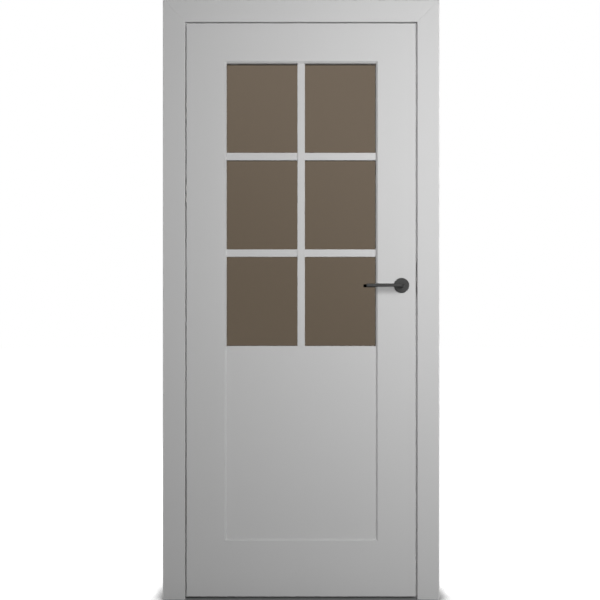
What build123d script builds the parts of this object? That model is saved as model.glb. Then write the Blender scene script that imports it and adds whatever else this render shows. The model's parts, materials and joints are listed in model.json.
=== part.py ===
from build123d import *
from math import acos, cos, degrees, radians, sin
import os

# Interior door: a flush leaf with six panes over one flat panel, in a lined and cased frame.
# X runs from the hinge side to the lock side, Y from the pull side to the push side, Z up from the floor.
# The origin is on the wall face of the hinge jamb, at mid depth and floor level. Millimetres and degrees.

# Leaf
leaf_width = 800
leaf_height = 2000
leaf_thickness = 40
stile_width = 139
top_rail_height = 138
bottom_rail_height = 201
recess_depth = 6
recess_bevel = 6
leaf_edge_radius = 2
lock_edge_bevel = 2

# Glazing bars, panes and lower panel
pane_rows = 3
pane_height = 312
glass_thickness = 4
glass_groove_depth = 9
glass_bite = 8
bar_width = 26
bar_setback = 2.5
bar_edge_radius = 1
panel_tongue_thickness = 12
panel_tongue_length = 10
tongue_end_play = 1

# Frame
reveal_gap = 5
floor_gap = 10
wall_thickness = 100
jamb_thickness = 40
stop_height = 15
stop_gap = 12
casing_width = 78
casing_thickness = 12
casing_edge_radius = 2.5
casing_outer_bevel = 3.5
casing_mitre_ease = 0.6
seal_width = 8
seal_proud = 6.5
seal_radius = 3
seal_tail_width = 3
seal_tail_depth = 6

# Concealed hinges: arms bent about the swing axis slide in curved slots of both hinge bodies
swing_axis_offset = 2
upper_hinge_drop = 297
middle_hinge_drop = 590
lower_hinge_rise = 297
hinge_height = 110
hinge_wall = 1.2
hinge_front_cover = 2.5
hinge_leaf_cover = 8.5
hinge_back_cover = 6
arm_thickness = 5
arm_height = 22
arm_pitch = 38
arm_clearance = 0.3
arm_end_play = 1

# Lock, latch and strike
backset = 50
lever_rise = 1086
lock_depth = 24
forend_width = 20
forend_height = 190
forend_thickness = 3
lock_case_depth = 76
lock_case_height = 150
lock_case_thickness = 14
latch_rise = 24
latch_height = 20
latch_thickness = 10
latch_length = 46
latch_proud = 3
latch_draw = 3
latch_clearance = 0.4
latch_nose_radius = 2.5
spindle_hole = 16
strike_width = 20
strike_height = 120
strike_thickness = 2
strike_margin = 1.5
strike_cup_wall = 1.5
strike_cup_depth = 14

# Levers
rose_diameter = 52
rose_thickness = 8
rose_chamfer = 1.2
collar_diameter = 18
collar_proud = 1.5
collar_clearance = 0.3
lever_bar = 11
lever_corner_radius = 2
lever_elbow = 9
lever_standoff = 48
lever_length = 126
lever_tip_chamfer = 1.5
spindle_width = 8
spindle_bite = 7

# Positions that follow
y_front = -wall_thickness / 2 - casing_thickness
y_leaf_back = y_front + leaf_thickness
y_leaf_middle = y_front + leaf_thickness / 2
y_stop = y_leaf_back + stop_gap
y_wall_front = -wall_thickness / 2
y_wall_back = wall_thickness / 2
y_back = y_wall_back + casing_thickness
leaf_left = jamb_thickness + reveal_gap
leaf_right = leaf_left + leaf_width
lock_rebate = leaf_right + reveal_gap
frame_width = lock_rebate + jamb_thickness
stop_reach = jamb_thickness + stop_height
leaf_bottom = floor_gap
leaf_top = leaf_bottom + leaf_height
frame_top = leaf_top + reveal_gap + jamb_thickness

opening_left = leaf_left + stile_width
opening_right = leaf_right - stile_width
opening_width = opening_right - opening_left
opening_middle = (opening_left + opening_right) / 2
opening_bottom = leaf_bottom + bottom_rail_height
opening_top = leaf_top - top_rail_height
glazing_height = pane_rows * pane_height + (pane_rows - 1) * bar_width
glazing_bottom = opening_top - glazing_height
pane_width = (opening_width - bar_width) / 2
panel_thickness = leaf_thickness - 2 * recess_depth
cross_bar_thickness = panel_thickness - 2 * bar_setback
bar_web = bar_width - 2 * glass_groove_depth

swing_axis = (leaf_left - reveal_gap / 2, y_front - swing_axis_offset)
arm_radius = leaf_thickness - hinge_back_cover - hinge_wall - arm_clearance - arm_thickness / 2 + swing_axis_offset
slot_inner = arm_radius - arm_thickness / 2 - arm_clearance
slot_outer = arm_radius + arm_thickness / 2 + arm_clearance
jamb_slot_front = casing_thickness + hinge_front_cover + hinge_wall
leaf_slot_front = hinge_leaf_cover + hinge_wall
jamb_slot_angle = degrees(acos((jamb_slot_front + swing_axis_offset) / slot_inner))
leaf_slot_angle = degrees(acos((leaf_slot_front + swing_axis_offset) / slot_inner))
hinge_jamb_depth = slot_outer * sin(radians(jamb_slot_angle)) + hinge_wall - reveal_gap / 2
hinge_leaf_depth = slot_outer * sin(radians(leaf_slot_angle)) + hinge_wall - reveal_gap / 2
hinge_back = leaf_thickness - hinge_back_cover
hinge_levels = {
    "upper": leaf_top - upper_hinge_drop,
    "middle": leaf_top - middle_hinge_drop,
    "lower": leaf_bottom + lower_hinge_rise,
}

lever_x = leaf_right - backset
lever_z = leaf_bottom + lever_rise
latch_y = y_front + lock_depth
latch_z = lever_z + latch_rise
forend_face = leaf_right - lock_edge_bevel * lock_depth / leaf_thickness
latch_tip = forend_face + latch_proud
latch_tail = latch_tip - latch_length


def front_plane(y):
    return Plane.XZ.offset(-y)


def side_plane(x):
    return Plane.YZ.offset(x)


def level_plane(z):
    return Plane.XY.offset(z)


def block(x0, x1, y0, y1, z0, z1, mode=Mode.ADD):
    with Locations(((x0 + x1) / 2, (y0 + y1) / 2, (z0 + z1) / 2)):
        Box(x1 - x0, y1 - y0, z1 - z0, mode=mode)


# Mitre planes at the two upper corners, shared by jambs, stops, seals and casings
hinge_mitre = Plane(origin=(0, 0, frame_top), z_dir=(1, 0, 1))
lock_mitre = Plane(origin=(frame_width, 0, frame_top), z_dir=(-1, 0, 1))
head_plane = Plane(origin=(-casing_width, 0, frame_top), x_dir=(0, 0, -1), z_dir=(1, 0, 0))
door_middle = Plane.YZ.offset(frame_width / 2)
leaf_middle = Plane.XZ.offset(-y_leaf_middle)


# Sections of the frame, drawn as reach in from the wall face and depth through the wall
def board_section(reach0, reach1, y0, y1):
    with Locations(((reach0 + reach1) / 2, (y0 + y1) / 2)):
        Rectangle(reach1 - reach0, y1 - y0)


def jamb_section():
    board_section(0, jamb_thickness, y_wall_front, y_wall_back)


def stop_section():
    board_section(jamb_thickness, stop_reach, y_stop, y_wall_back)
    kerf_middle = (jamb_thickness + stop_reach) / 2
    with Locations((kerf_middle, y_stop + seal_tail_depth / 2)):
        Rectangle(seal_tail_width, seal_tail_depth, mode=Mode.SUBTRACT)


def seal_section():
    seal_middle = (jamb_thickness + stop_reach) / 2
    with Locations((seal_middle, y_stop - seal_proud / 2)):
        bulb = Rectangle(seal_width, seal_proud)
    fillet(bulb.vertices().group_by(Axis.Y)[0], seal_radius)
    with Locations((seal_middle, y_stop + seal_tail_depth / 2)):
        Rectangle(seal_tail_width, seal_tail_depth)


def front_casing_section():
    board_section(jamb_thickness - casing_width, jamb_thickness, y_front, y_wall_front)


def back_casing_section():
    board_section(stop_reach - casing_width, stop_reach, y_wall_back, y_back)


def side_run(section):
    with BuildPart() as run:
        with BuildSketch(Plane.XY):
            section()
        extrude(amount=frame_top + casing_width)
        split(bisect_by=hinge_mitre, keep=Keep.BOTTOM)
    return run.part


def head_run(section):
    with BuildPart() as run:
        with BuildSketch(head_plane):
            section()
        extrude(amount=frame_width + 2 * casing_width)
        split(bisect_by=hinge_mitre, keep=Keep.TOP)
        split(bisect_by=lock_mitre, keep=Keep.TOP)
    return run.part


def ease_casing(run, y, axis):
    def on_face(edge):
        return abs(edge.center().Y - y) < casing_mitre_ease / 10

    def slanted(edge):
        along = edge.tangent_at(0)
        return abs(along.X) > 0.5 and abs(along.Z) > 0.5

    chamfer(run.edges().filter_by(on_face).filter_by(slanted), casing_mitre_ease)
    fillet(run.edges().filter_by(axis).filter_by(on_face).sort_by(Edge.length)[0], casing_edge_radius)
    chamfer(run.edges().filter_by(axis).filter_by(on_face).sort_by(Edge.length)[-1], casing_outer_bevel)


nodes = {}


# Hinge bodies: an obround block, flush with the rebate or with the leaf edge, with two curved slots
def hinge_outline(front, level):
    with Locations((y_front + (front + hinge_back) / 2, level)):
        SlotOverall(hinge_height, hinge_back - front, rotation=90)


def jamb_hinge_outline(level):
    hinge_outline(jamb_slot_front - hinge_wall, level)


def leaf_hinge_outline(level):
    hinge_outline(leaf_slot_front - hinge_wall, level)


def arm_levels(level):
    return (level - arm_pitch / 2, level + arm_pitch / 2)


def curved_slots(level, start, sweep):
    for arm_level in arm_levels(level):
        with BuildSketch(level_plane(arm_level - arm_height / 2 - arm_clearance)) as slot:
            with BuildLine():
                CenterArc(swing_axis, arm_radius, start, sweep)
            trace(line_width=arm_thickness + 2 * arm_clearance)
        extrude(slot.sketch, amount=arm_height + 2 * arm_clearance, mode=Mode.SUBTRACT)


for level_name, level in hinge_levels.items():
    with BuildPart() as hinge_frame_body:
        with BuildSketch(side_plane(jamb_thickness)):
            jamb_hinge_outline(level)
        extrude(amount=-hinge_jamb_depth)
        curved_slots(level, 90, jamb_slot_angle)
    nodes[f"hinge_frame_body_{level_name}"] = hinge_frame_body.part

    with BuildPart() as hinge_leaf_body:
        with BuildSketch(side_plane(leaf_left)):
            leaf_hinge_outline(level)
        extrude(amount=hinge_leaf_depth)
        curved_slots(level, 90 - leaf_slot_angle, leaf_slot_angle)
    nodes[f"hinge_leaf_body_{level_name}"] = hinge_leaf_body.part

    arm_start = 90 - leaf_slot_angle + arm_end_play
    arm_sweep = leaf_slot_angle + jamb_slot_angle - 2 * arm_end_play
    with BuildPart() as hinge_arms:
        for arm_level in arm_levels(level):
            with BuildSketch(level_plane(arm_level - arm_height / 2)):
                with BuildLine():
                    CenterArc(swing_axis, arm_radius, arm_start, arm_sweep)
                trace(line_width=arm_thickness)
            extrude(amount=arm_height)
    nodes[f"hinge_arms_{level_name}"] = hinge_arms.part


# Mortise lock: forend on the bevelled edge, case behind it, latch channel and spindle hole
def lock_edge_plane(z):
    edge_point = (forend_face, latch_y, z)
    return Plane(
        origin=edge_point,
        x_dir=(-lock_edge_bevel, leaf_thickness, 0),
        z_dir=(leaf_thickness, lock_edge_bevel, 0),
    )


def lock_body():
    with BuildSketch(lock_edge_plane(lever_z)) as forend:
        SlotOverall(forend_height, forend_width, rotation=90)
    extrude(forend.sketch, amount=-forend_thickness)
    case_front = forend_face - forend_thickness / 2
    half_y = lock_case_thickness / 2
    half_z = lock_case_height / 2
    case_y = (latch_y - half_y, latch_y + half_y)
    block(forend_face - lock_case_depth, case_front, *case_y, lever_z - half_z, lever_z + half_z)


def latch_channel(slack, x0, x1):
    half_y = latch_thickness / 2 + slack
    half_z = latch_height / 2 + slack
    block(x0, x1, latch_y - half_y, latch_y + half_y, latch_z - half_z, latch_z + half_z, Mode.SUBTRACT)


with BuildPart() as lock_blank:
    lock_body()

with BuildPart() as mortise_lock:
    lock_body()
    latch_channel(latch_clearance, latch_tail - latch_draw - latch_clearance, latch_tip)
    with BuildSketch(front_plane(y_front)):
        with Locations((lever_x, lever_z)):
            Circle(spindle_hole / 2)
    extrude(amount=-leaf_thickness, mode=Mode.SUBTRACT)
nodes["mortise_lock"] = mortise_lock.part

with BuildPart() as latch_bolt:
    half_y = latch_thickness / 2
    half_z = latch_height / 2
    block(latch_tail, latch_tip, latch_y - half_y, latch_y + half_y, latch_z - half_z, latch_z + half_z)
    nose = latch_bolt.faces().sort_by(Axis.X)[-1]
    fillet(nose.edges().filter_by(Axis.Z), latch_nose_radius)
nodes["latch_bolt"] = latch_bolt.part


# Strike: an obround plate flush in the lock jamb, with a cup behind its opening
def strike_cup(wall):
    half_y = latch_thickness / 2 + strike_margin + wall
    half_z = latch_height / 2 + strike_margin + wall
    return latch_y - half_y, latch_y + half_y, latch_z - half_z, latch_z + half_z


def strike_body():
    with BuildSketch(side_plane(lock_rebate)) as plate:
        with Locations((latch_y, latch_z)):
            SlotOverall(strike_height, strike_width, rotation=90)
    extrude(plate.sketch, amount=strike_thickness)
    block(lock_rebate, lock_rebate + strike_cup_depth, *strike_cup(strike_cup_wall))


with BuildPart() as strike_blank:
    strike_body()

with BuildPart() as strike_plate:
    strike_body()
    block(lock_rebate, lock_rebate + strike_cup_depth - strike_cup_wall, *strike_cup(0), Mode.SUBTRACT)
nodes["strike_plate"] = strike_plate.part

# Jambs
with BuildPart() as hinge_jamb:
    add(side_run(jamb_section))
    for level in hinge_levels.values():
        with BuildSketch(side_plane(jamb_thickness)):
            jamb_hinge_outline(level)
        extrude(amount=-hinge_jamb_depth, mode=Mode.SUBTRACT)
nodes["hinge_jamb"] = hinge_jamb.part

with BuildPart() as lock_jamb:
    mirror(side_run(jamb_section), about=door_middle)
    add(strike_blank.part, mode=Mode.SUBTRACT)
nodes["lock_jamb"] = lock_jamb.part
nodes["head_jamb"] = head_run(jamb_section)

# Stops and seals
for piece_name, section in (("stop", stop_section), ("seal", seal_section)):
    with BuildPart() as hinge_side_run:
        add(side_run(section))
    with BuildPart() as lock_side_run:
        mirror(hinge_side_run.part, about=door_middle)
    nodes[f"hinge_{piece_name}"] = hinge_side_run.part
    nodes[f"lock_{piece_name}"] = lock_side_run.part
    nodes[f"head_{piece_name}"] = head_run(section)

# Casings, mitred at the head: inner edge rounded, outer edge bevelled, mitre joints eased
casings = (("front", front_casing_section, y_front), ("back", back_casing_section, y_back))
for side_name, section, face_y in casings:
    with BuildPart() as hinge_casing:
        add(side_run(section))
        ease_casing(hinge_casing, face_y, Axis.Z)
    with BuildPart() as lock_casing:
        mirror(hinge_casing.part, about=door_middle)
    with BuildPart() as head_casing:
        add(head_run(section))
        ease_casing(head_casing, face_y, Axis.X)
    nodes[f"{side_name}_casing_hinge"] = hinge_casing.part
    nodes[f"{side_name}_casing_lock"] = lock_casing.part
    nodes[f"{side_name}_casing_head"] = head_casing.part

# Leaf frame in one, with its opening, bevels, grooves and mortises, then parted into stiles and rails
with BuildPart() as leaf_frame:
    with BuildSketch(level_plane(leaf_bottom)):
        with BuildLine():
            Polyline(
                (leaf_left, y_front),
                (leaf_right, y_front),
                (leaf_right - lock_edge_bevel, y_leaf_back),
                (leaf_left, y_leaf_back),
                close=True,
            )
        make_face()
    extrude(amount=leaf_height)
    fillet(leaf_frame.faces().sort_by(Axis.Y)[0].edges(), leaf_edge_radius)
    fillet(leaf_frame.faces().sort_by(Axis.Y)[-1].edges(), leaf_edge_radius)
    block(opening_left, opening_right, y_front, y_leaf_back, opening_bottom, opening_top, Mode.SUBTRACT)
    rims = leaf_frame.faces().sort_by(Axis.Y)[0].inner_wires()[0].edges()
    rims += leaf_frame.faces().sort_by(Axis.Y)[-1].inner_wires()[0].edges()
    chamfer(rims, recess_bevel)
    block(
        opening_left - glass_groove_depth,
        opening_right + glass_groove_depth,
        y_leaf_middle - glass_thickness / 2,
        y_leaf_middle + glass_thickness / 2,
        glazing_bottom,
        opening_top + glass_groove_depth,
        Mode.SUBTRACT,
    )
    block(
        opening_left - panel_tongue_length - tongue_end_play,
        opening_right + panel_tongue_length + tongue_end_play,
        y_leaf_middle - panel_tongue_thickness / 2,
        y_leaf_middle + panel_tongue_thickness / 2,
        opening_bottom - panel_tongue_length,
        glazing_bottom,
        Mode.SUBTRACT,
    )
    for level in hinge_levels.values():
        with BuildSketch(side_plane(leaf_left)):
            leaf_hinge_outline(level)
        extrude(amount=hinge_leaf_depth, mode=Mode.SUBTRACT)
    add(lock_blank.part, mode=Mode.SUBTRACT)
    with BuildSketch(front_plane(y_front)):
        with Locations((lever_x, lever_z)):
            Circle(spindle_hole / 2)
    extrude(amount=-leaf_thickness, mode=Mode.SUBTRACT)

with BuildPart() as hinge_stile:
    add(leaf_frame.part)
    split(bisect_by=side_plane(opening_left), keep=Keep.BOTTOM)
nodes["hinge_stile"] = hinge_stile.part

with BuildPart() as lock_stile:
    add(leaf_frame.part)
    split(bisect_by=side_plane(opening_right), keep=Keep.TOP)
nodes["lock_stile"] = lock_stile.part

with BuildPart() as rails:
    add(leaf_frame.part)
    split(bisect_by=side_plane(opening_left), keep=Keep.TOP)
    split(bisect_by=side_plane(opening_right), keep=Keep.BOTTOM)

with BuildPart() as top_rail:
    add(rails.part)
    split(bisect_by=level_plane(glazing_bottom), keep=Keep.TOP)
nodes["top_rail"] = top_rail.part

with BuildPart() as bottom_rail:
    add(rails.part)
    split(bisect_by=level_plane(glazing_bottom), keep=Keep.BOTTOM)
nodes["bottom_rail"] = bottom_rail.part


# Lower panel, tongued into stiles and bottom rail, its top edge grooved for the glass
def leaf_slab(thickness, x0, x1, z0, z1, mode=Mode.ADD):
    block(x0, x1, y_leaf_middle - thickness / 2, y_leaf_middle + thickness / 2, z0, z1, mode)


def eased_long_edges(bar, axis, thickness):
    half = thickness / 2
    long_edges = [e for e in bar.edges().filter_by(axis) if abs(abs(e.center().Y - y_leaf_middle) - half) < half / 100]
    fillet(long_edges, bar_edge_radius)


with BuildPart() as lower_panel:
    leaf_slab(panel_thickness, opening_left, opening_right, opening_bottom, glazing_bottom)
    eased_edges = lower_panel.faces().sort_by(Axis.Z)[-1].edges().filter_by(Axis.X)
    fillet(eased_edges, bar_edge_radius)
    leaf_slab(
        panel_tongue_thickness,
        opening_left - panel_tongue_length,
        opening_right + panel_tongue_length,
        opening_bottom - panel_tongue_length,
        glazing_bottom,
    )
    leaf_slab(
        glass_thickness,
        opening_left - panel_tongue_length,
        opening_right + panel_tongue_length,
        glazing_bottom - glass_groove_depth,
        glazing_bottom,
        Mode.SUBTRACT,
    )
nodes["lower_panel"] = lower_panel.part

# Mullion and cross bars: grooved for the glass, the web left as a tongue at each end
mullion_left = opening_middle - bar_width / 2
mullion_right = opening_middle + bar_width / 2
with BuildPart() as mullion:
    leaf_slab(panel_thickness, mullion_left, mullion_right, glazing_bottom, opening_top)
    eased_long_edges(mullion, Axis.Z, panel_thickness)
    for groove_left in (mullion_left, mullion_right - glass_groove_depth):
        groove_right = groove_left + glass_groove_depth
        leaf_slab(glass_thickness, groove_left, groove_right, glazing_bottom, opening_top, Mode.SUBTRACT)
    web_left = opening_middle - bar_web / 2
    web_right = opening_middle + bar_web / 2
    leaf_slab(glass_thickness, web_left, web_right, glazing_bottom - glass_bite, opening_top + glass_bite)
nodes["mullion"] = mullion.part

columns = ((opening_left, mullion_left), (mullion_right, opening_right))
for bar_name, panes_below in (("lower", 1), ("upper", pane_rows - 1)):
    bar_bottom = glazing_bottom + panes_below * pane_height + (panes_below - 1) * bar_width
    bar_top = bar_bottom + bar_width
    bar_middle = (bar_bottom + bar_top) / 2
    bar_pair = []
    for column_left, column_right in columns:
        with BuildPart() as cross_bar:
            leaf_slab(cross_bar_thickness, column_left, column_right, bar_bottom, bar_top)
            eased_long_edges(cross_bar, Axis.X, cross_bar_thickness)
            for groove_bottom in (bar_bottom, bar_top - glass_groove_depth):
                groove_top = groove_bottom + glass_groove_depth
                leaf_slab(glass_thickness, column_left, column_right, groove_bottom, groove_top, Mode.SUBTRACT)
            leaf_slab(
                glass_thickness,
                column_left - glass_bite,
                column_right + glass_bite,
                bar_middle - bar_web / 2,
                bar_middle + bar_web / 2,
            )
        bar_pair.append(cross_bar.part)
    with BuildPart() as cross_bars:
        add(bar_pair)
    nodes[f"cross_bars_{bar_name}"] = cross_bars.part

# Panes, two to a row
row_names = ("bottom", "middle", "top")
for row in range(pane_rows):
    pane_bottom = glazing_bottom + row * (pane_height + bar_width)
    with BuildPart() as panes:
        for column_left, column_right in columns:
            leaf_slab(
                glass_thickness,
                column_left - glass_bite,
                column_right + glass_bite,
                pane_bottom - glass_bite,
                pane_bottom + pane_height + glass_bite,
            )
    nodes[f"panes_{row_names[row]}"] = panes.part

# Roses, levers and spindle
with BuildPart() as front_rose:
    with BuildSketch(front_plane(y_front)):
        with Locations((lever_x, lever_z)):
            Circle(rose_diameter / 2)
    extrude(amount=rose_thickness)
    rose_rim = front_rose.faces().sort_by(Axis.Y)[0].edges()
    chamfer(rose_rim, rose_chamfer)
    with BuildSketch(front_plane(y_front)):
        with Locations((lever_x, lever_z)):
            Circle(collar_diameter / 2 + collar_clearance)
    extrude(amount=rose_thickness, mode=Mode.SUBTRACT)
nodes["front_rose"] = front_rose.part

with BuildPart() as back_rose:
    mirror(front_rose.part, about=leaf_middle)
nodes["back_rose"] = back_rose.part

collar_back = y_front - collar_clearance
collar_front = y_front - rose_thickness - collar_proud
bar_y = y_front - lever_standoff
with BuildPart() as front_lever:
    with BuildLine():
        FilletPolyline(
            (lever_x, collar_front, lever_z),
            (lever_x, bar_y, lever_z),
            (lever_x - lever_length, bar_y, lever_z),
            radius=lever_elbow,
        )
    with BuildSketch(Plane(origin=(lever_x, collar_front, lever_z), x_dir=(1, 0, 0), z_dir=(0, -1, 0))):
        RectangleRounded(lever_bar, lever_bar, lever_corner_radius)
    sweep()
    tip = front_lever.faces().sort_by(Axis.X)[0]
    chamfer(tip.edges(), lever_tip_chamfer)
    with BuildSketch(front_plane(collar_back)):
        with Locations((lever_x, lever_z)):
            Circle(collar_diameter / 2)
    extrude(amount=collar_back - collar_front)
    half_spindle = spindle_width / 2
    block(
        lever_x - half_spindle,
        lever_x + half_spindle,
        collar_back - spindle_bite,
        collar_back,
        lever_z - half_spindle,
        lever_z + half_spindle,
        Mode.SUBTRACT,
    )
nodes["front_lever"] = front_lever.part

with BuildPart() as back_lever:
    mirror(front_lever.part, about=leaf_middle)
nodes["back_lever"] = back_lever.part

with BuildPart() as spindle:
    spindle_front = collar_back - spindle_bite
    spindle_back = 2 * y_leaf_middle - spindle_front
    block(
        lever_x - half_spindle,
        lever_x + half_spindle,
        spindle_front,
        spindle_back,
        lever_z - half_spindle,
        lever_z + half_spindle,
    )
nodes["spindle"] = spindle.part

os.makedirs("parts", exist_ok=True)
for node_name, node in nodes.items():
    node.label = node_name
    export_step(node, f"parts/{node_name}.step")
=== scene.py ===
import json
import math
import bmesh
import bpy
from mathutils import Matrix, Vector


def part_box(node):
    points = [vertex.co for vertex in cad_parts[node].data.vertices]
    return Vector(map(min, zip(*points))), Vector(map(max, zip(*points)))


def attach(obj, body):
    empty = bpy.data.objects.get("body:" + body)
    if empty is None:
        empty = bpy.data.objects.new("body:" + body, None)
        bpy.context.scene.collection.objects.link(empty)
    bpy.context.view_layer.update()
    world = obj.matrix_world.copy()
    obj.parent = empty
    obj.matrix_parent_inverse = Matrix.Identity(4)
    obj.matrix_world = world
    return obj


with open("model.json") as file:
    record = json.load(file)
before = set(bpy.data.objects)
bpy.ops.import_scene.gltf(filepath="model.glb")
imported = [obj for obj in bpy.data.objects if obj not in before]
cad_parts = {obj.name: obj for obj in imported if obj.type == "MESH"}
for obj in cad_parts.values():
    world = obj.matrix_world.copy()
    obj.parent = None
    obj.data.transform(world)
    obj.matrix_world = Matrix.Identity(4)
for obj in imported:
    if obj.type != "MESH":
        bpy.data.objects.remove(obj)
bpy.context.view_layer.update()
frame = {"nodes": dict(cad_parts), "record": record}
record = frame["record"]
print("frame loaded:", len(frame["nodes"]), "nodes")


def newGroup(name, inputs, outputs):
    group = bpy.data.node_groups.new(name, "ShaderNodeTree")
    for label, kind, default in inputs:
        socket = group.interface.new_socket(label, in_out="INPUT", socket_type=kind)
        socket.default_value = default
    for label, kind in outputs:
        group.interface.new_socket(label, in_out="OUTPUT", socket_type=kind)
    start = group.nodes.new("NodeGroupInput")
    end = group.nodes.new("NodeGroupOutput")
    return group, start, end


def addNode(tree, kind, **settings):
    node = tree.nodes.new(kind)
    for key, value in settings.items():
        setattr(node, key, value)
    return node


# noise sizes of the sprayed skin
spray = {"slowScale": 2.3, "slowDetail": 3.0, "cloudScale": 19.0, "cloudDetail": 4.0, "peelDetail": 2.0}


def paintSkinGroup():
    # sprayed skin: slow tone drift, gloss drift and fine orange peel
    group, start, end = newGroup(
        "paintSkin",
        [("Colour", "NodeSocketColor", (0.5, 0.5, 0.5, 1)), ("Drift", "NodeSocketFloat", 0.03),
         ("Gloss Drift", "NodeSocketFloat", 0.05), ("Roughness", "NodeSocketFloat", 0.4),
         ("Peel Scale", "NodeSocketFloat", 700.0)],
        [("Colour", "NodeSocketColor"), ("Roughness", "NodeSocketFloat"), ("Height", "NodeSocketFloat")])
    links = group.links
    coord = addNode(group, "ShaderNodeTexCoord")
    slow = addNode(group, "ShaderNodeTexNoise")
    slow.inputs["Scale"].default_value = spray["slowScale"]
    slow.inputs["Detail"].default_value = spray["slowDetail"]
    cloud = addNode(group, "ShaderNodeTexNoise")
    cloud.inputs["Scale"].default_value = spray["cloudScale"]
    cloud.inputs["Detail"].default_value = spray["cloudDetail"]
    peel = addNode(group, "ShaderNodeTexNoise")
    peel.inputs["Detail"].default_value = spray["peelDetail"]
    for tex in (slow, cloud, peel):
        links.new(coord.outputs["Object"], tex.inputs["Vector"])
    links.new(start.outputs["Peel Scale"], peel.inputs["Scale"])
    drift = addNode(group, "ShaderNodeMath", operation="MULTIPLY_ADD")
    links.new(slow.outputs["Fac"], drift.inputs[0])
    links.new(start.outputs["Drift"], drift.inputs[1])
    drift.inputs[2].default_value = 1.0
    level = addNode(group, "ShaderNodeMath", operation="MULTIPLY_ADD")
    links.new(start.outputs["Drift"], level.inputs[0])
    level.inputs[1].default_value = -0.5  # centres the drift on 1
    links.new(drift.outputs[0], level.inputs[2])
    tint = addNode(group, "ShaderNodeVectorMath", operation="SCALE")
    links.new(start.outputs["Colour"], tint.inputs[0])
    links.new(level.outputs[0], tint.inputs["Scale"])
    gloss = addNode(group, "ShaderNodeMath", operation="MULTIPLY_ADD")
    links.new(cloud.outputs["Fac"], gloss.inputs[0])
    links.new(start.outputs["Gloss Drift"], gloss.inputs[1])
    links.new(start.outputs["Roughness"], gloss.inputs[2])
    links.new(tint.outputs[0], end.inputs["Colour"])
    links.new(gloss.outputs[0], end.inputs["Roughness"])
    links.new(peel.outputs["Fac"], end.inputs["Height"])
    return group


# noise detail of the satin lines, and the tone that their contrast adds to
brush = {"detail": 3.0, "baseTone": 0.94}


def brushedGroup():
    # fine satin lines drawn along one direction
    group, start, end = newGroup(
        "brushedLines",
        [("Colour", "NodeSocketColor", (0.6, 0.6, 0.6, 1)), ("Contrast", "NodeSocketFloat", 0.12),
         ("Roughness", "NodeSocketFloat", 0.3), ("Spread", "NodeSocketFloat", 0.12),
         ("Stretch", "NodeSocketVector", (900.0, 900.0, 30.0))],
        [("Colour", "NodeSocketColor"), ("Roughness", "NodeSocketFloat"), ("Height", "NodeSocketFloat")])
    links = group.links
    coord = addNode(group, "ShaderNodeTexCoord")
    squeeze = addNode(group, "ShaderNodeVectorMath", operation="MULTIPLY")
    links.new(coord.outputs["Object"], squeeze.inputs[0])
    links.new(start.outputs["Stretch"], squeeze.inputs[1])
    lines = addNode(group, "ShaderNodeTexNoise")
    lines.inputs["Scale"].default_value = 1.0  # Stretch sets the size
    lines.inputs["Detail"].default_value = brush["detail"]
    links.new(squeeze.outputs[0], lines.inputs["Vector"])
    shade = addNode(group, "ShaderNodeMath", operation="MULTIPLY_ADD")
    links.new(lines.outputs["Fac"], shade.inputs[0])
    links.new(start.outputs["Contrast"], shade.inputs[1])
    shade.inputs[2].default_value = brush["baseTone"]
    tint = addNode(group, "ShaderNodeVectorMath", operation="SCALE")
    links.new(start.outputs["Colour"], tint.inputs[0])
    links.new(shade.outputs[0], tint.inputs["Scale"])
    rough = addNode(group, "ShaderNodeMath", operation="MULTIPLY_ADD")
    links.new(lines.outputs["Fac"], rough.inputs[0])
    links.new(start.outputs["Spread"], rough.inputs[1])
    links.new(start.outputs["Roughness"], rough.inputs[2])
    links.new(tint.outputs[0], end.inputs["Colour"])
    links.new(rough.outputs[0], end.inputs["Roughness"])
    links.new(lines.outputs["Fac"], end.inputs["Height"])
    return group


paintSkin = paintSkinGroup()
brushedLines = brushedGroup()
print("shader groups built")


def startMaterial(name):
    material = bpy.data.materials.new(name)
    material.use_nodes = True
    tree = material.node_tree
    return material, tree, tree.nodes["Principled BSDF"]


def useGroup(tree, group, values):
    node = addNode(tree, "ShaderNodeGroup", node_tree=group)
    for label, value in values.items():
        node.inputs[label].default_value = value
    return node


def addBump(tree, heightSocket, shader, strength, distance):
    bump = addNode(tree, "ShaderNodeBump")
    bump.inputs["Strength"].default_value = strength
    bump.inputs["Distance"].default_value = distance
    tree.links.new(heightSocket, bump.inputs["Height"])
    tree.links.new(bump.outputs["Normal"], shader.inputs["Normal"])


def skinMaterial(name, group, values, finish):
    material, tree, shader = startMaterial(name)
    skin = useGroup(tree, group, values)
    tree.links.new(skin.outputs["Colour"], shader.inputs["Base Color"])
    tree.links.new(skin.outputs["Roughness"], shader.inputs["Roughness"])
    addBump(tree, skin.outputs["Height"], shader, finish["bump"], finish["depth"])
    shader.inputs["Metallic"].default_value = finish["metallic"]
    shader.inputs["IOR"].default_value = finish["ior"]
    return material


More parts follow.
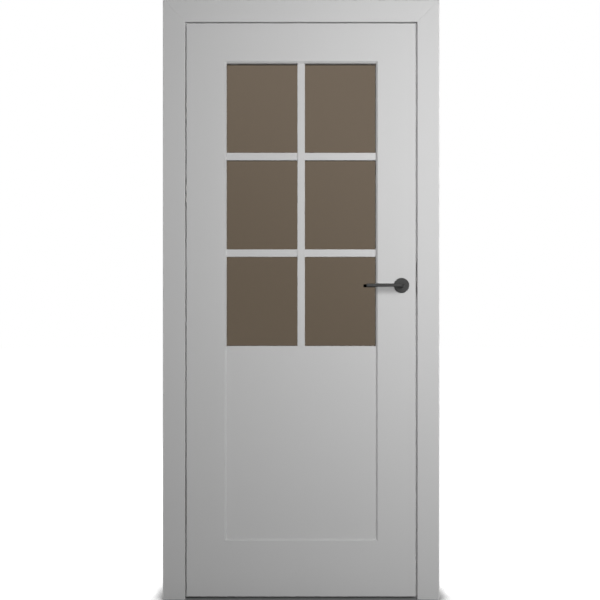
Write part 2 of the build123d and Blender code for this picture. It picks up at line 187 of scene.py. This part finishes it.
lacquer = {
    "skin": {"Colour": (0.52, 0.52, 0.52, 1), "Drift": 0.02, "Gloss Drift": 0.06,
             "Roughness": 0.58, "Peel Scale": 620.0},
    "finish": {"bump": 0.3, "depth": 0.0002, "metallic": 0.0, "ior": 1.45},
}
blackCoat = {
    "skin": {"Colour": (0.009, 0.009, 0.0088, 1), "Drift": 0.08, "Gloss Drift": 0.08,
             "Roughness": 0.52, "Peel Scale": 2600.0},
    "finish": {"bump": 0.25, "depth": 0.00012, "metallic": 0.0, "ior": 1.36},
}
softSeal = {
    "skin": {"Colour": (0.34, 0.34, 0.335, 1), "Drift": 0.08, "Gloss Drift": 0.1,
             "Roughness": 0.62, "Peel Scale": 1500.0},
    "finish": {"bump": 0.2, "depth": 0.0001, "metallic": 0.0, "ior": 1.5},
}
satinNickel = {
    "skin": {"Colour": (0.44, 0.435, 0.42, 1), "Contrast": 0.22, "Roughness": 0.26, "Spread": 0.16,
             "Stretch": (900.0, 900.0, 40.0)},
    "finish": {"bump": 0.08, "depth": 0.00005, "metallic": 1.0, "ior": 1.5},
}
latchSteel = {
    "skin": {"Colour": (0.5, 0.5, 0.49, 1), "Contrast": 0.2, "Roughness": 0.22, "Spread": 0.14,
             "Stretch": (60.0, 1100.0, 1100.0)},
    "finish": {"bump": 0.06, "depth": 0.00005, "metallic": 1.0, "ior": 1.5},
}
bronzeGlass = {"tint": (0.062, 0.046, 0.028, 1), "drift": 0.06, "roughness": 0.0, "ior": 2.0,
               "sheenTint": (1.0, 0.82, 0.67, 1)}


def glassMaterial(name, settings):
    material, tree, shader = startMaterial(name)
    skin = useGroup(tree, paintSkin, {"Colour": settings["tint"], "Drift": settings["drift"]})
    tree.links.new(skin.outputs["Colour"], shader.inputs["Base Color"])
    shader.inputs["Transmission Weight"].default_value = 1.0
    shader.inputs["Roughness"].default_value = settings["roughness"]
    shader.inputs["IOR"].default_value = settings["ior"]
    shader.inputs["Specular Tint"].default_value = settings["sheenTint"]
    return material


finishes = {
    "lacquer": skinMaterial("greyLacquer", paintSkin, lacquer["skin"], lacquer["finish"]),
    "black_metal": skinMaterial("graphiteCoat", paintSkin, blackCoat["skin"], blackCoat["finish"]),
    "seal": skinMaterial("softSeal", paintSkin, softSeal["skin"], softSeal["finish"]),
    "satin_metal": skinMaterial("satinNickel", brushedLines, satinNickel["skin"], satinNickel["finish"]),
    "latch_metal": skinMaterial("latchSteel", brushedLines, latchSteel["skin"], latchSteel["finish"]),
    "bronze_glass": glassMaterial("bronzeGlass", bronzeGlass),
}
slotOf = {entry["node"]: entry["material_slot"] for entry in record["subparts"]}
for nodeName, slotName in slotOf.items():
    node = bpy.data.objects[nodeName]
    node.data.materials.clear()
    node.data.materials.append(finishes[slotName])
print("finishes set on", len(slotOf), "nodes")


# low cross-head screws in the hinge plates, the lock forend and the strike
screws = {"headRadius": 0.0034, "proud": 0.0005, "recess": 0.0021, "recessWidth": 0.001,
          "hingeSpread": 0.043, "forendSpread": 0.083, "strikeSpread": 0.046}
# a socket set screw under the neck of each lever
grubs = {"headRadius": 0.0022, "proud": 0.0004, "socket": 0.00125, "fromRose": 0.013}
# both kinds of head: shoulder, taper and floor are shares of the rim, the recess and the height
heads = {"sides": 24, "shoulder": 0.88, "taper": 0.8, "floor": 0.12, "scale": 1.0, "turnStep": 0.7}


def crossOutline(arm, half):
    return [(arm, half), (half, half), (half, arm), (-half, arm), (-half, half), (-arm, half),
            (-arm, -half), (-half, -half), (-half, -arm), (half, -arm), (half, -half), (arm, -half)]


def hexOutline(radius):
    return [(radius * math.cos(math.pi * i / 3), radius * math.sin(math.pi * i / 3)) for i in range(6)]


def headMesh(name, radius, proud, recess):
    # a shallow pan with a driver recess, facing +Z
    build = bmesh.new()
    sides = heads["sides"]
    inset = heads["shoulder"]
    taper = heads["taper"]
    rim = [build.verts.new((radius * math.cos(2 * math.pi * i / sides),
                            radius * math.sin(2 * math.pi * i / sides), 0.0)) for i in range(sides)]
    shoulder = [build.verts.new((v.co.x * inset, v.co.y * inset, proud)) for v in rim]
    lip = [build.verts.new((x, y, proud)) for x, y in recess]
    floor = [build.verts.new((x * taper, y * taper, proud * heads["floor"])) for x, y in recess]
    for i in range(sides):
        build.faces.new((rim[i], rim[(i + 1) % sides], shoulder[(i + 1) % sides], shoulder[i]))
    for i in range(len(lip)):
        j = (i + 1) % len(lip)
        build.faces.new((lip[j], lip[i], floor[i], floor[j]))
    build.faces.new(floor)
    build.faces.new(list(reversed(rim)))
    ringEdges = [build.edges.get((shoulder[i], shoulder[(i + 1) % sides])) for i in range(sides)]
    lipEdges = [build.edges.get((lip[i], lip[(i + 1) % len(lip)])) for i in range(len(lip))]
    bmesh.ops.triangle_fill(build, use_beauty=True, edges=ringEdges + lipEdges)
    bmesh.ops.recalc_face_normals(build, faces=build.faces)
    mesh = bpy.data.meshes.new(name)
    build.to_mesh(mesh)
    build.free()
    return mesh


crossRecess = crossOutline(screws["recess"], screws["recessWidth"] / 2)
screwMesh = headMesh("screwHead", screws["headRadius"], screws["proud"], crossRecess)
screwHead = bpy.data.objects.new("screwHead", screwMesh)
grubMesh = headMesh("grubHead", grubs["headRadius"], grubs["proud"], hexOutline(grubs["socket"]))
grubHead = bpy.data.objects.new("grubHead", grubMesh)


def screwTree():
    tree = bpy.data.node_groups.new("screwsOnPoints", "GeometryNodeTree")
    face = tree.interface
    face.new_socket("Geometry", in_out="INPUT", socket_type="NodeSocketGeometry")
    face.new_socket("Head", in_out="INPUT", socket_type="NodeSocketObject")
    face.new_socket("Scale", in_out="INPUT", socket_type="NodeSocketFloat")
    face.new_socket("Turn", in_out="INPUT", socket_type="NodeSocketFloat")
    face.new_socket("Finish", in_out="INPUT", socket_type="NodeSocketMaterial")
    face.new_socket("Geometry", in_out="OUTPUT", socket_type="NodeSocketGeometry")
    start = tree.nodes.new("NodeGroupInput")
    end = tree.nodes.new("NodeGroupOutput")
    facing = addNode(tree, "GeometryNodeInputNamedAttribute", data_type="FLOAT_VECTOR")
    facing.inputs["Name"].default_value = "facing"
    align = addNode(tree, "FunctionNodeAlignRotationToVector", axis="Z")
    tree.links.new(facing.outputs[0], align.inputs["Vector"])
    index = addNode(tree, "GeometryNodeInputIndex")
    turn = addNode(tree, "ShaderNodeMath", operation="MULTIPLY")
    tree.links.new(index.outputs[0], turn.inputs[0])
    tree.links.new(start.outputs["Turn"], turn.inputs[1])
    spin = addNode(tree, "FunctionNodeAxisAngleToRotation")
    spin.inputs["Axis"].default_value = (0, 0, 1)
    tree.links.new(turn.outputs[0], spin.inputs["Angle"])
    rotate = addNode(tree, "FunctionNodeRotateRotation", rotation_space="LOCAL")
    tree.links.new(align.outputs[0], rotate.inputs["Rotation"])
    tree.links.new(spin.outputs[0], rotate.inputs["Rotate By"])
    head = addNode(tree, "GeometryNodeObjectInfo")
    tree.links.new(start.outputs["Head"], head.inputs["Object"])
    place = addNode(tree, "GeometryNodeInstanceOnPoints")
    tree.links.new(start.outputs["Geometry"], place.inputs["Points"])
    tree.links.new(head.outputs["Geometry"], place.inputs["Instance"])
    tree.links.new(rotate.outputs[0], place.inputs["Rotation"])
    tree.links.new(start.outputs["Scale"], place.inputs["Scale"])
    real = addNode(tree, "GeometryNodeRealizeInstances")
    tree.links.new(place.outputs[0], real.inputs[0])
    paint = addNode(tree, "GeometryNodeSetMaterial")
    tree.links.new(real.outputs[0], paint.inputs["Geometry"])
    tree.links.new(start.outputs["Finish"], paint.inputs["Material"])
    tree.links.new(paint.outputs[0], end.inputs[0])
    return tree


screwNodes = screwTree()


def setInput(modifier, label, value):
    for item in modifier.node_group.interface.items_tree:
        if item.in_out == "INPUT" and item.name == label:
            modifier[item.identifier] = value


def screwsPiece(name, head, spots, body, slotName):
    mesh = bpy.data.meshes.new(name + "Points")
    mesh.from_pydata([spot for spot, facing in spots], [], [])
    way = mesh.attributes.new("facing", "FLOAT_VECTOR", "POINT")
    for i, (spot, facing) in enumerate(spots):
        way.data[i].vector = facing
    points = bpy.data.objects.new(name + "Points", mesh)
    bpy.context.scene.collection.objects.link(points)
    modifier = points.modifiers.new("screws", "NODES")
    modifier.node_group = screwNodes
    setInput(modifier, "Head", head)
    setInput(modifier, "Scale", heads["scale"])
    setInput(modifier, "Turn", heads["turnStep"])
    setInput(modifier, "Finish", finishes[slotName])
    depsgraph = bpy.context.evaluated_depsgraph_get()
    made = bpy.data.meshes.new_from_object(points.evaluated_get(depsgraph))
    bpy.data.objects.remove(points)
    made.materials.clear()
    made.materials.append(finishes[slotName])
    piece = bpy.data.objects.new(name, made)
    bpy.context.scene.collection.objects.link(piece)
    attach(piece, body)
    return piece


def platePair(nodeName, end, facing, spread):
    # a screw towards each end of an upright plate, on its low X side (end 0) or its high X side (end 1)
    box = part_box(nodeName)
    y, z = [(box[0][i] + box[1][i]) / 2 for i in (1, 2)]
    return [((box[end][0], y, z + side * spread), facing) for side in (-1, 1)]


levels = ("upper", "middle", "lower")
frameSpots = []
leafSpots = []
for level in levels:
    frameSpots += platePair("hinge_frame_body_" + level, 1, (1, 0, 0), screws["hingeSpread"])
    leafSpots += platePair("hinge_leaf_body_" + level, 0, (-1, 0, 0), screws["hingeSpread"])
frameSpots += platePair("strike_plate", 0, (-1, 0, 0), screws["strikeSpread"])
screwsPiece("frameScrews", screwHead, frameSpots, "frame", "satin_metal")

# the lock edge leans back 2 mm in 40, so the forend's face at the latch's depth lies just inside its box
lockEdge = {"lean": 0.05, "inside": 0.0005, "latchDepth": -0.038}
edgeSlope = math.atan(lockEdge["lean"])
edgeOut = (math.cos(edgeSlope), math.sin(edgeSlope), 0.0)
lockLow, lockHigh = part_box("mortise_lock")
forendX = lockHigh[0] - lockEdge["inside"]
forendZ = (lockLow[2] + lockHigh[2]) / 2
for side in (-1, 1):
    leafSpots.append(((forendX, lockEdge["latchDepth"], forendZ + side * screws["forendSpread"]), edgeOut))
screwsPiece("leafScrews", screwHead, leafSpots, "leaf", "satin_metal")

grubSpots = []
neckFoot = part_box("front_lever")[0][2]
for roseName, end, way in (("front_rose", 0, -1), ("back_rose", 1, 1)):
    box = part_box(roseName)
    spot = ((box[0][0] + box[1][0]) / 2, box[end][1] + way * grubs["fromRose"], neckFoot)
    grubSpots.append((spot, (0, 0, -1)))
screwsPiece("leverGrubs", grubHead, grubSpots, "lever_set", "black_metal")
print("screws placed")


# contact, contactPower and contactSamples set the painted contact shadow in the floor's glow
studio = {"floorSize": 30.0, "floorGlow": 0.93, "floorFade": (0.9, 3.2), "floorAlbedo": 0.25,
          "bounceAlbedo": 0.2, "contact": 0.08, "contactPower": 6.0, "contactSamples": 16,
          "sky": 1.0, "frontDim": 0.58, "fill": 0.05, "middleX": 0.445,
          "glossLean": 0.8, "glossRise": (-0.12, 0.34), "glossBack": (-0.5, 0.1), "glossFar": (2.0, 12.0),
          "keyPower": 74.0, "keySize": (0.8, 1.5), "keyPlace": (1.36, -2.523, 1.742),
          "backPower": 70.0, "backSize": (1.4, 1.8), "backPlace": (-0.7, 2.6, 2.0),
          "backAim": (0.45, 0.0, 1.0),
          "sidePower": 42.0, "sideSize": (0.9, 2.0), "sideAway": 2.6, "sideBack": 0.35, "sideHigh": 1.3,
          "revealPower": 65.0, "revealSize": (2.0, 2.2), "revealPlace": (0.3, -1.6, 1.5)}


def setFrom(node, limits):
    node.inputs["From Min"].default_value = limits[0]
    node.inputs["From Max"].default_value = limits[1]


def seenDirectly(tree):
    # 1 for rays from the camera, a gloss or a pane, 0 for the rays that light the object
    path = addNode(tree, "ShaderNodeLightPath")
    first = addNode(tree, "ShaderNodeMath", operation="MAXIMUM")
    tree.links.new(path.outputs["Is Camera Ray"], first.inputs[0])
    tree.links.new(path.outputs["Is Glossy Ray"], first.inputs[1])
    both = addNode(tree, "ShaderNodeMath", operation="MAXIMUM")
    tree.links.new(first.outputs[0], both.inputs[0])
    tree.links.new(path.outputs["Is Transmission Ray"], both.inputs[1])
    return both.outputs[0]


def glossTone(tree, direction):
    # gloss meets a studio that is bright behind, above and to the right, and dim low on the left in front
    split = addNode(tree, "ShaderNodeSeparateXYZ")
    tree.links.new(direction, split.inputs[0])
    slant = addNode(tree, "ShaderNodeMath", operation="MULTIPLY_ADD")
    tree.links.new(split.outputs["X"], slant.inputs[0])
    slant.inputs[1].default_value = studio["glossLean"]
    tree.links.new(split.outputs["Z"], slant.inputs[2])
    front = addNode(tree, "ShaderNodeMapRange", interpolation_type="SMOOTHSTEP")
    setFrom(front, studio["glossRise"])
    front.inputs["To Min"].default_value = studio["frontDim"]
    front.inputs["To Max"].default_value = studio["sky"]
    tree.links.new(slant.outputs[0], front.inputs["Value"])
    behind = addNode(tree, "ShaderNodeMapRange", interpolation_type="SMOOTHSTEP")
    setFrom(behind, studio["glossBack"])
    tree.links.new(split.outputs["Y"], behind.inputs["Value"])
    tone = addNode(tree, "ShaderNodeMix", data_type="FLOAT")
    tree.links.new(behind.outputs[0], tone.inputs["Factor"])
    tree.links.new(front.outputs[0], tone.inputs["A"])
    tone.inputs["B"].default_value = studio["sky"]
    return tone.outputs[0]


def makeFloor():
    mesh = bpy.data.meshes.new("studioFloor")
    s = studio["floorSize"] / 2
    mesh.from_pydata([(-s, -s, 0), (s, -s, 0), (s, s, 0), (-s, s, 0)], [], [(0, 1, 2, 3)])
    floor = bpy.data.objects.new("studioFloor", mesh)
    bpy.context.scene.collection.objects.link(floor)
    material = bpy.data.materials.new("studioFloor")
    material.use_nodes = True
    tree = material.node_tree
    tree.nodes.clear()
    out = addNode(tree, "ShaderNodeOutputMaterial")
    bounce = addNode(tree, "ShaderNodeBsdfDiffuse")
    bounce.inputs["Color"].default_value = (studio["bounceAlbedo"],) * 3 + (1,)
    matte = addNode(tree, "ShaderNodeBsdfDiffuse")
    matte.inputs["Color"].default_value = (studio["floorAlbedo"],) * 3 + (1,)
    coord = addNode(tree, "ShaderNodeTexCoord")
    away = addNode(tree, "ShaderNodeVectorMath", operation="LENGTH")
    tree.links.new(coord.outputs["Object"], away.inputs[0])
    fade = addNode(tree, "ShaderNodeMapRange", interpolation_type="SMOOTHSTEP")
    setFrom(fade, studio["floorFade"])
    fade.inputs["To Min"].default_value = studio["floorGlow"]
    fade.inputs["To Max"].default_value = 1.0
    tree.links.new(away.outputs["Value"], fade.inputs["Value"])
    # painted contact shadow: the floor's glow is dimmed by ambient occlusion where the door meets the
    # floor, while the matte part takes real shadow from the lamps
    floorOcclusion = addNode(tree, "ShaderNodeAmbientOcclusion", samples=studio["contactSamples"])
    floorOcclusion.inputs["Distance"].default_value = studio["contact"]
    paintedContactShade = addNode(tree, "ShaderNodeMath", operation="POWER")
    tree.links.new(floorOcclusion.outputs["AO"], paintedContactShade.inputs[0])
    paintedContactShade.inputs[1].default_value = studio["contactPower"]
    # gloss sees the floor fade into the studio's tone at the horizon
    outward = addNode(tree, "ShaderNodeVectorMath", operation="NORMALIZE")
    tree.links.new(coord.outputs["Object"], outward.inputs[0])
    far = addNode(tree, "ShaderNodeMapRange", interpolation_type="SMOOTHSTEP")
    setFrom(far, studio["glossFar"])
    far.inputs["To Min"].default_value = 1.0
    tree.links.new(glossTone(tree, outward.outputs[0]), far.inputs["To Max"])
    tree.links.new(away.outputs["Value"], far.inputs["Value"])
    path = addNode(tree, "ShaderNodeLightPath")
    sheen = addNode(tree, "ShaderNodeMix", data_type="FLOAT")
    tree.links.new(path.outputs["Is Glossy Ray"], sheen.inputs["Factor"])
    sheen.inputs["A"].default_value = 1.0
    tree.links.new(far.outputs[0], sheen.inputs["B"])
    near = addNode(tree, "ShaderNodeMath", operation="MULTIPLY")
    tree.links.new(fade.outputs[0], near.inputs[0])
    tree.links.new(sheen.outputs[0], near.inputs[1])
    # the glow, darkened by the painted contact shadow near the door
    lit = addNode(tree, "ShaderNodeMath", operation="MULTIPLY")
    tree.links.new(near.outputs[0], lit.inputs[0])
    tree.links.new(paintedContactShade.outputs[0], lit.inputs[1])
    glow = addNode(tree, "ShaderNodeEmission")
    tree.links.new(lit.outputs[0], glow.inputs["Strength"])
    both = addNode(tree, "ShaderNodeAddShader")
    tree.links.new(matte.outputs[0], both.inputs[0])
    tree.links.new(glow.outputs[0], both.inputs[1])
    mix = addNode(tree, "ShaderNodeMixShader")
    tree.links.new(seenDirectly(tree), mix.inputs[0])
    tree.links.new(bounce.outputs[0], mix.inputs[1])
    tree.links.new(both.outputs[0], mix.inputs[2])
    tree.links.new(mix.outputs[0], out.inputs["Surface"])
    mesh.materials.append(material)


def makeWorld():
    world = bpy.data.worlds.new("paleStudio")
    bpy.context.scene.world = world
    world.use_nodes = True
    tree = world.node_tree
    tree.nodes.clear()
    out = addNode(tree, "ShaderNodeOutputWorld")
    coord = addNode(tree, "ShaderNodeTexCoord")
    path = addNode(tree, "ShaderNodeLightPath")
    seen = addNode(tree, "ShaderNodeMath", operation="MAXIMUM")
    tree.links.new(path.outputs["Is Camera Ray"], seen.inputs[0])
    tree.links.new(path.outputs["Is Transmission Ray"], seen.inputs[1])
    dimmed = addNode(tree, "ShaderNodeMix", data_type="FLOAT")
    tree.links.new(path.outputs["Is Glossy Ray"], dimmed.inputs["Factor"])
    dimmed.inputs["A"].default_value = studio["fill"]
    tree.links.new(glossTone(tree, coord.outputs["Generated"]), dimmed.inputs["B"])
    level = addNode(tree, "ShaderNodeMix", data_type="FLOAT")
    tree.links.new(seen.outputs[0], level.inputs["Factor"])
    tree.links.new(dimmed.outputs[0], level.inputs["A"])
    level.inputs["B"].default_value = studio["sky"]
    sky = addNode(tree, "ShaderNodeBackground")
    sky.inputs["Color"].default_value = (1, 1, 1, 1)
    tree.links.new(level.outputs[0], sky.inputs["Strength"])
    tree.links.new(sky.outputs[0], out.inputs["Surface"])


def addLamp(name, place, aim, power, size, inGloss):
    lamp = bpy.data.lights.new(name, "AREA")
    lamp.energy = power
    lamp.shape = "RECTANGLE"
    lamp.size, lamp.size_y = size
    holder = bpy.data.objects.new(name, lamp)
    bpy.context.scene.collection.objects.link(holder)
    holder.location = place
    holder.rotation_euler = (Vector(aim) - Vector(place)).to_track_quat("-Z", "Y").to_euler()
    holder.visible_camera = False
    holder.visible_transmission = False
    holder.visible_glossy = inGloss
    return holder


def lightGroup(name, nodeNames, state):
    group = bpy.data.collections.new(name)
    for nodeName in nodeNames:
        group.objects.link(bpy.data.objects[nodeName])
    for member in group.collection_objects:
        member.light_linking.link_state = state
    return group


makeFloor()
makeWorld()
keyAim = (studio["keyPlace"][0], 0.0, studio["keyPlace"][2])
key = addLamp("keyLamp", studio["keyPlace"], keyAim, studio["keyPower"], studio["keySize"], True)
# the key's own mirror image stays out of the glass and off the bolt's flat side
keyLeavesOut = ("panes_bottom", "panes_middle", "panes_top", "latch_bolt")
key.light_linking.receiver_collection = lightGroup("keyLeavesOut", keyLeavesOut, "EXCLUDE")
# a fill for the lining alone, so that the gap round the leaf isn't black: the leaf casts no shadow from it
revealAim = (studio["middleX"], 0.0, studio["revealPlace"][2])
reveal = addLamp("revealLamp", studio["revealPlace"], revealAim,
                 studio["revealPower"], studio["revealSize"], True)
lining = ["hinge_jamb", "lock_jamb", "head_jamb", "strike_plate"]
lining += ["hinge_frame_body_" + level for level in levels]
reveal.light_linking.receiver_collection = lightGroup("lining", lining, "INCLUDE")
leafNodes = record["behaviour"]["bodies"]["leaf"]
reveal.light_linking.blocker_collection = lightGroup("leafLetsThrough", leafNodes, "EXCLUDE")
addLamp("backLamp", studio["backPlace"], studio["backAim"], studio["backPower"], studio["backSize"], False)
for name, way in (("leftLamp", -1), ("rightLamp", 1)):  # behind the face, for the jambs' sides
    sidePlace = (studio["middleX"] + way * studio["sideAway"], studio["sideBack"], studio["sideHigh"])
    sideAim = (studio["middleX"], studio["sideBack"], studio["sideHigh"])
    addLamp(name, sidePlace, sideAim, studio["sidePower"], studio["sideSize"], False)

view = {"lens": 50.0, "sensor": 36.0, "facePlane": -0.062, "distance": 2.907, "x": 0.441, "z": 1.045}
lens = bpy.data.cameras.new("doorCamera")
lens.lens = view["lens"]
lens.sensor_width = view["sensor"]
camera = bpy.data.objects.new("doorCamera", lens)
bpy.context.scene.collection.objects.link(camera)
camera.location = (view["x"], view["facePlane"] - view["distance"], view["z"])
camera.rotation_euler = (math.radians(90), 0, 0)
bpy.context.scene.camera = camera
bpy.context.scene.view_settings.view_transform = "Standard"
print("studio ready")
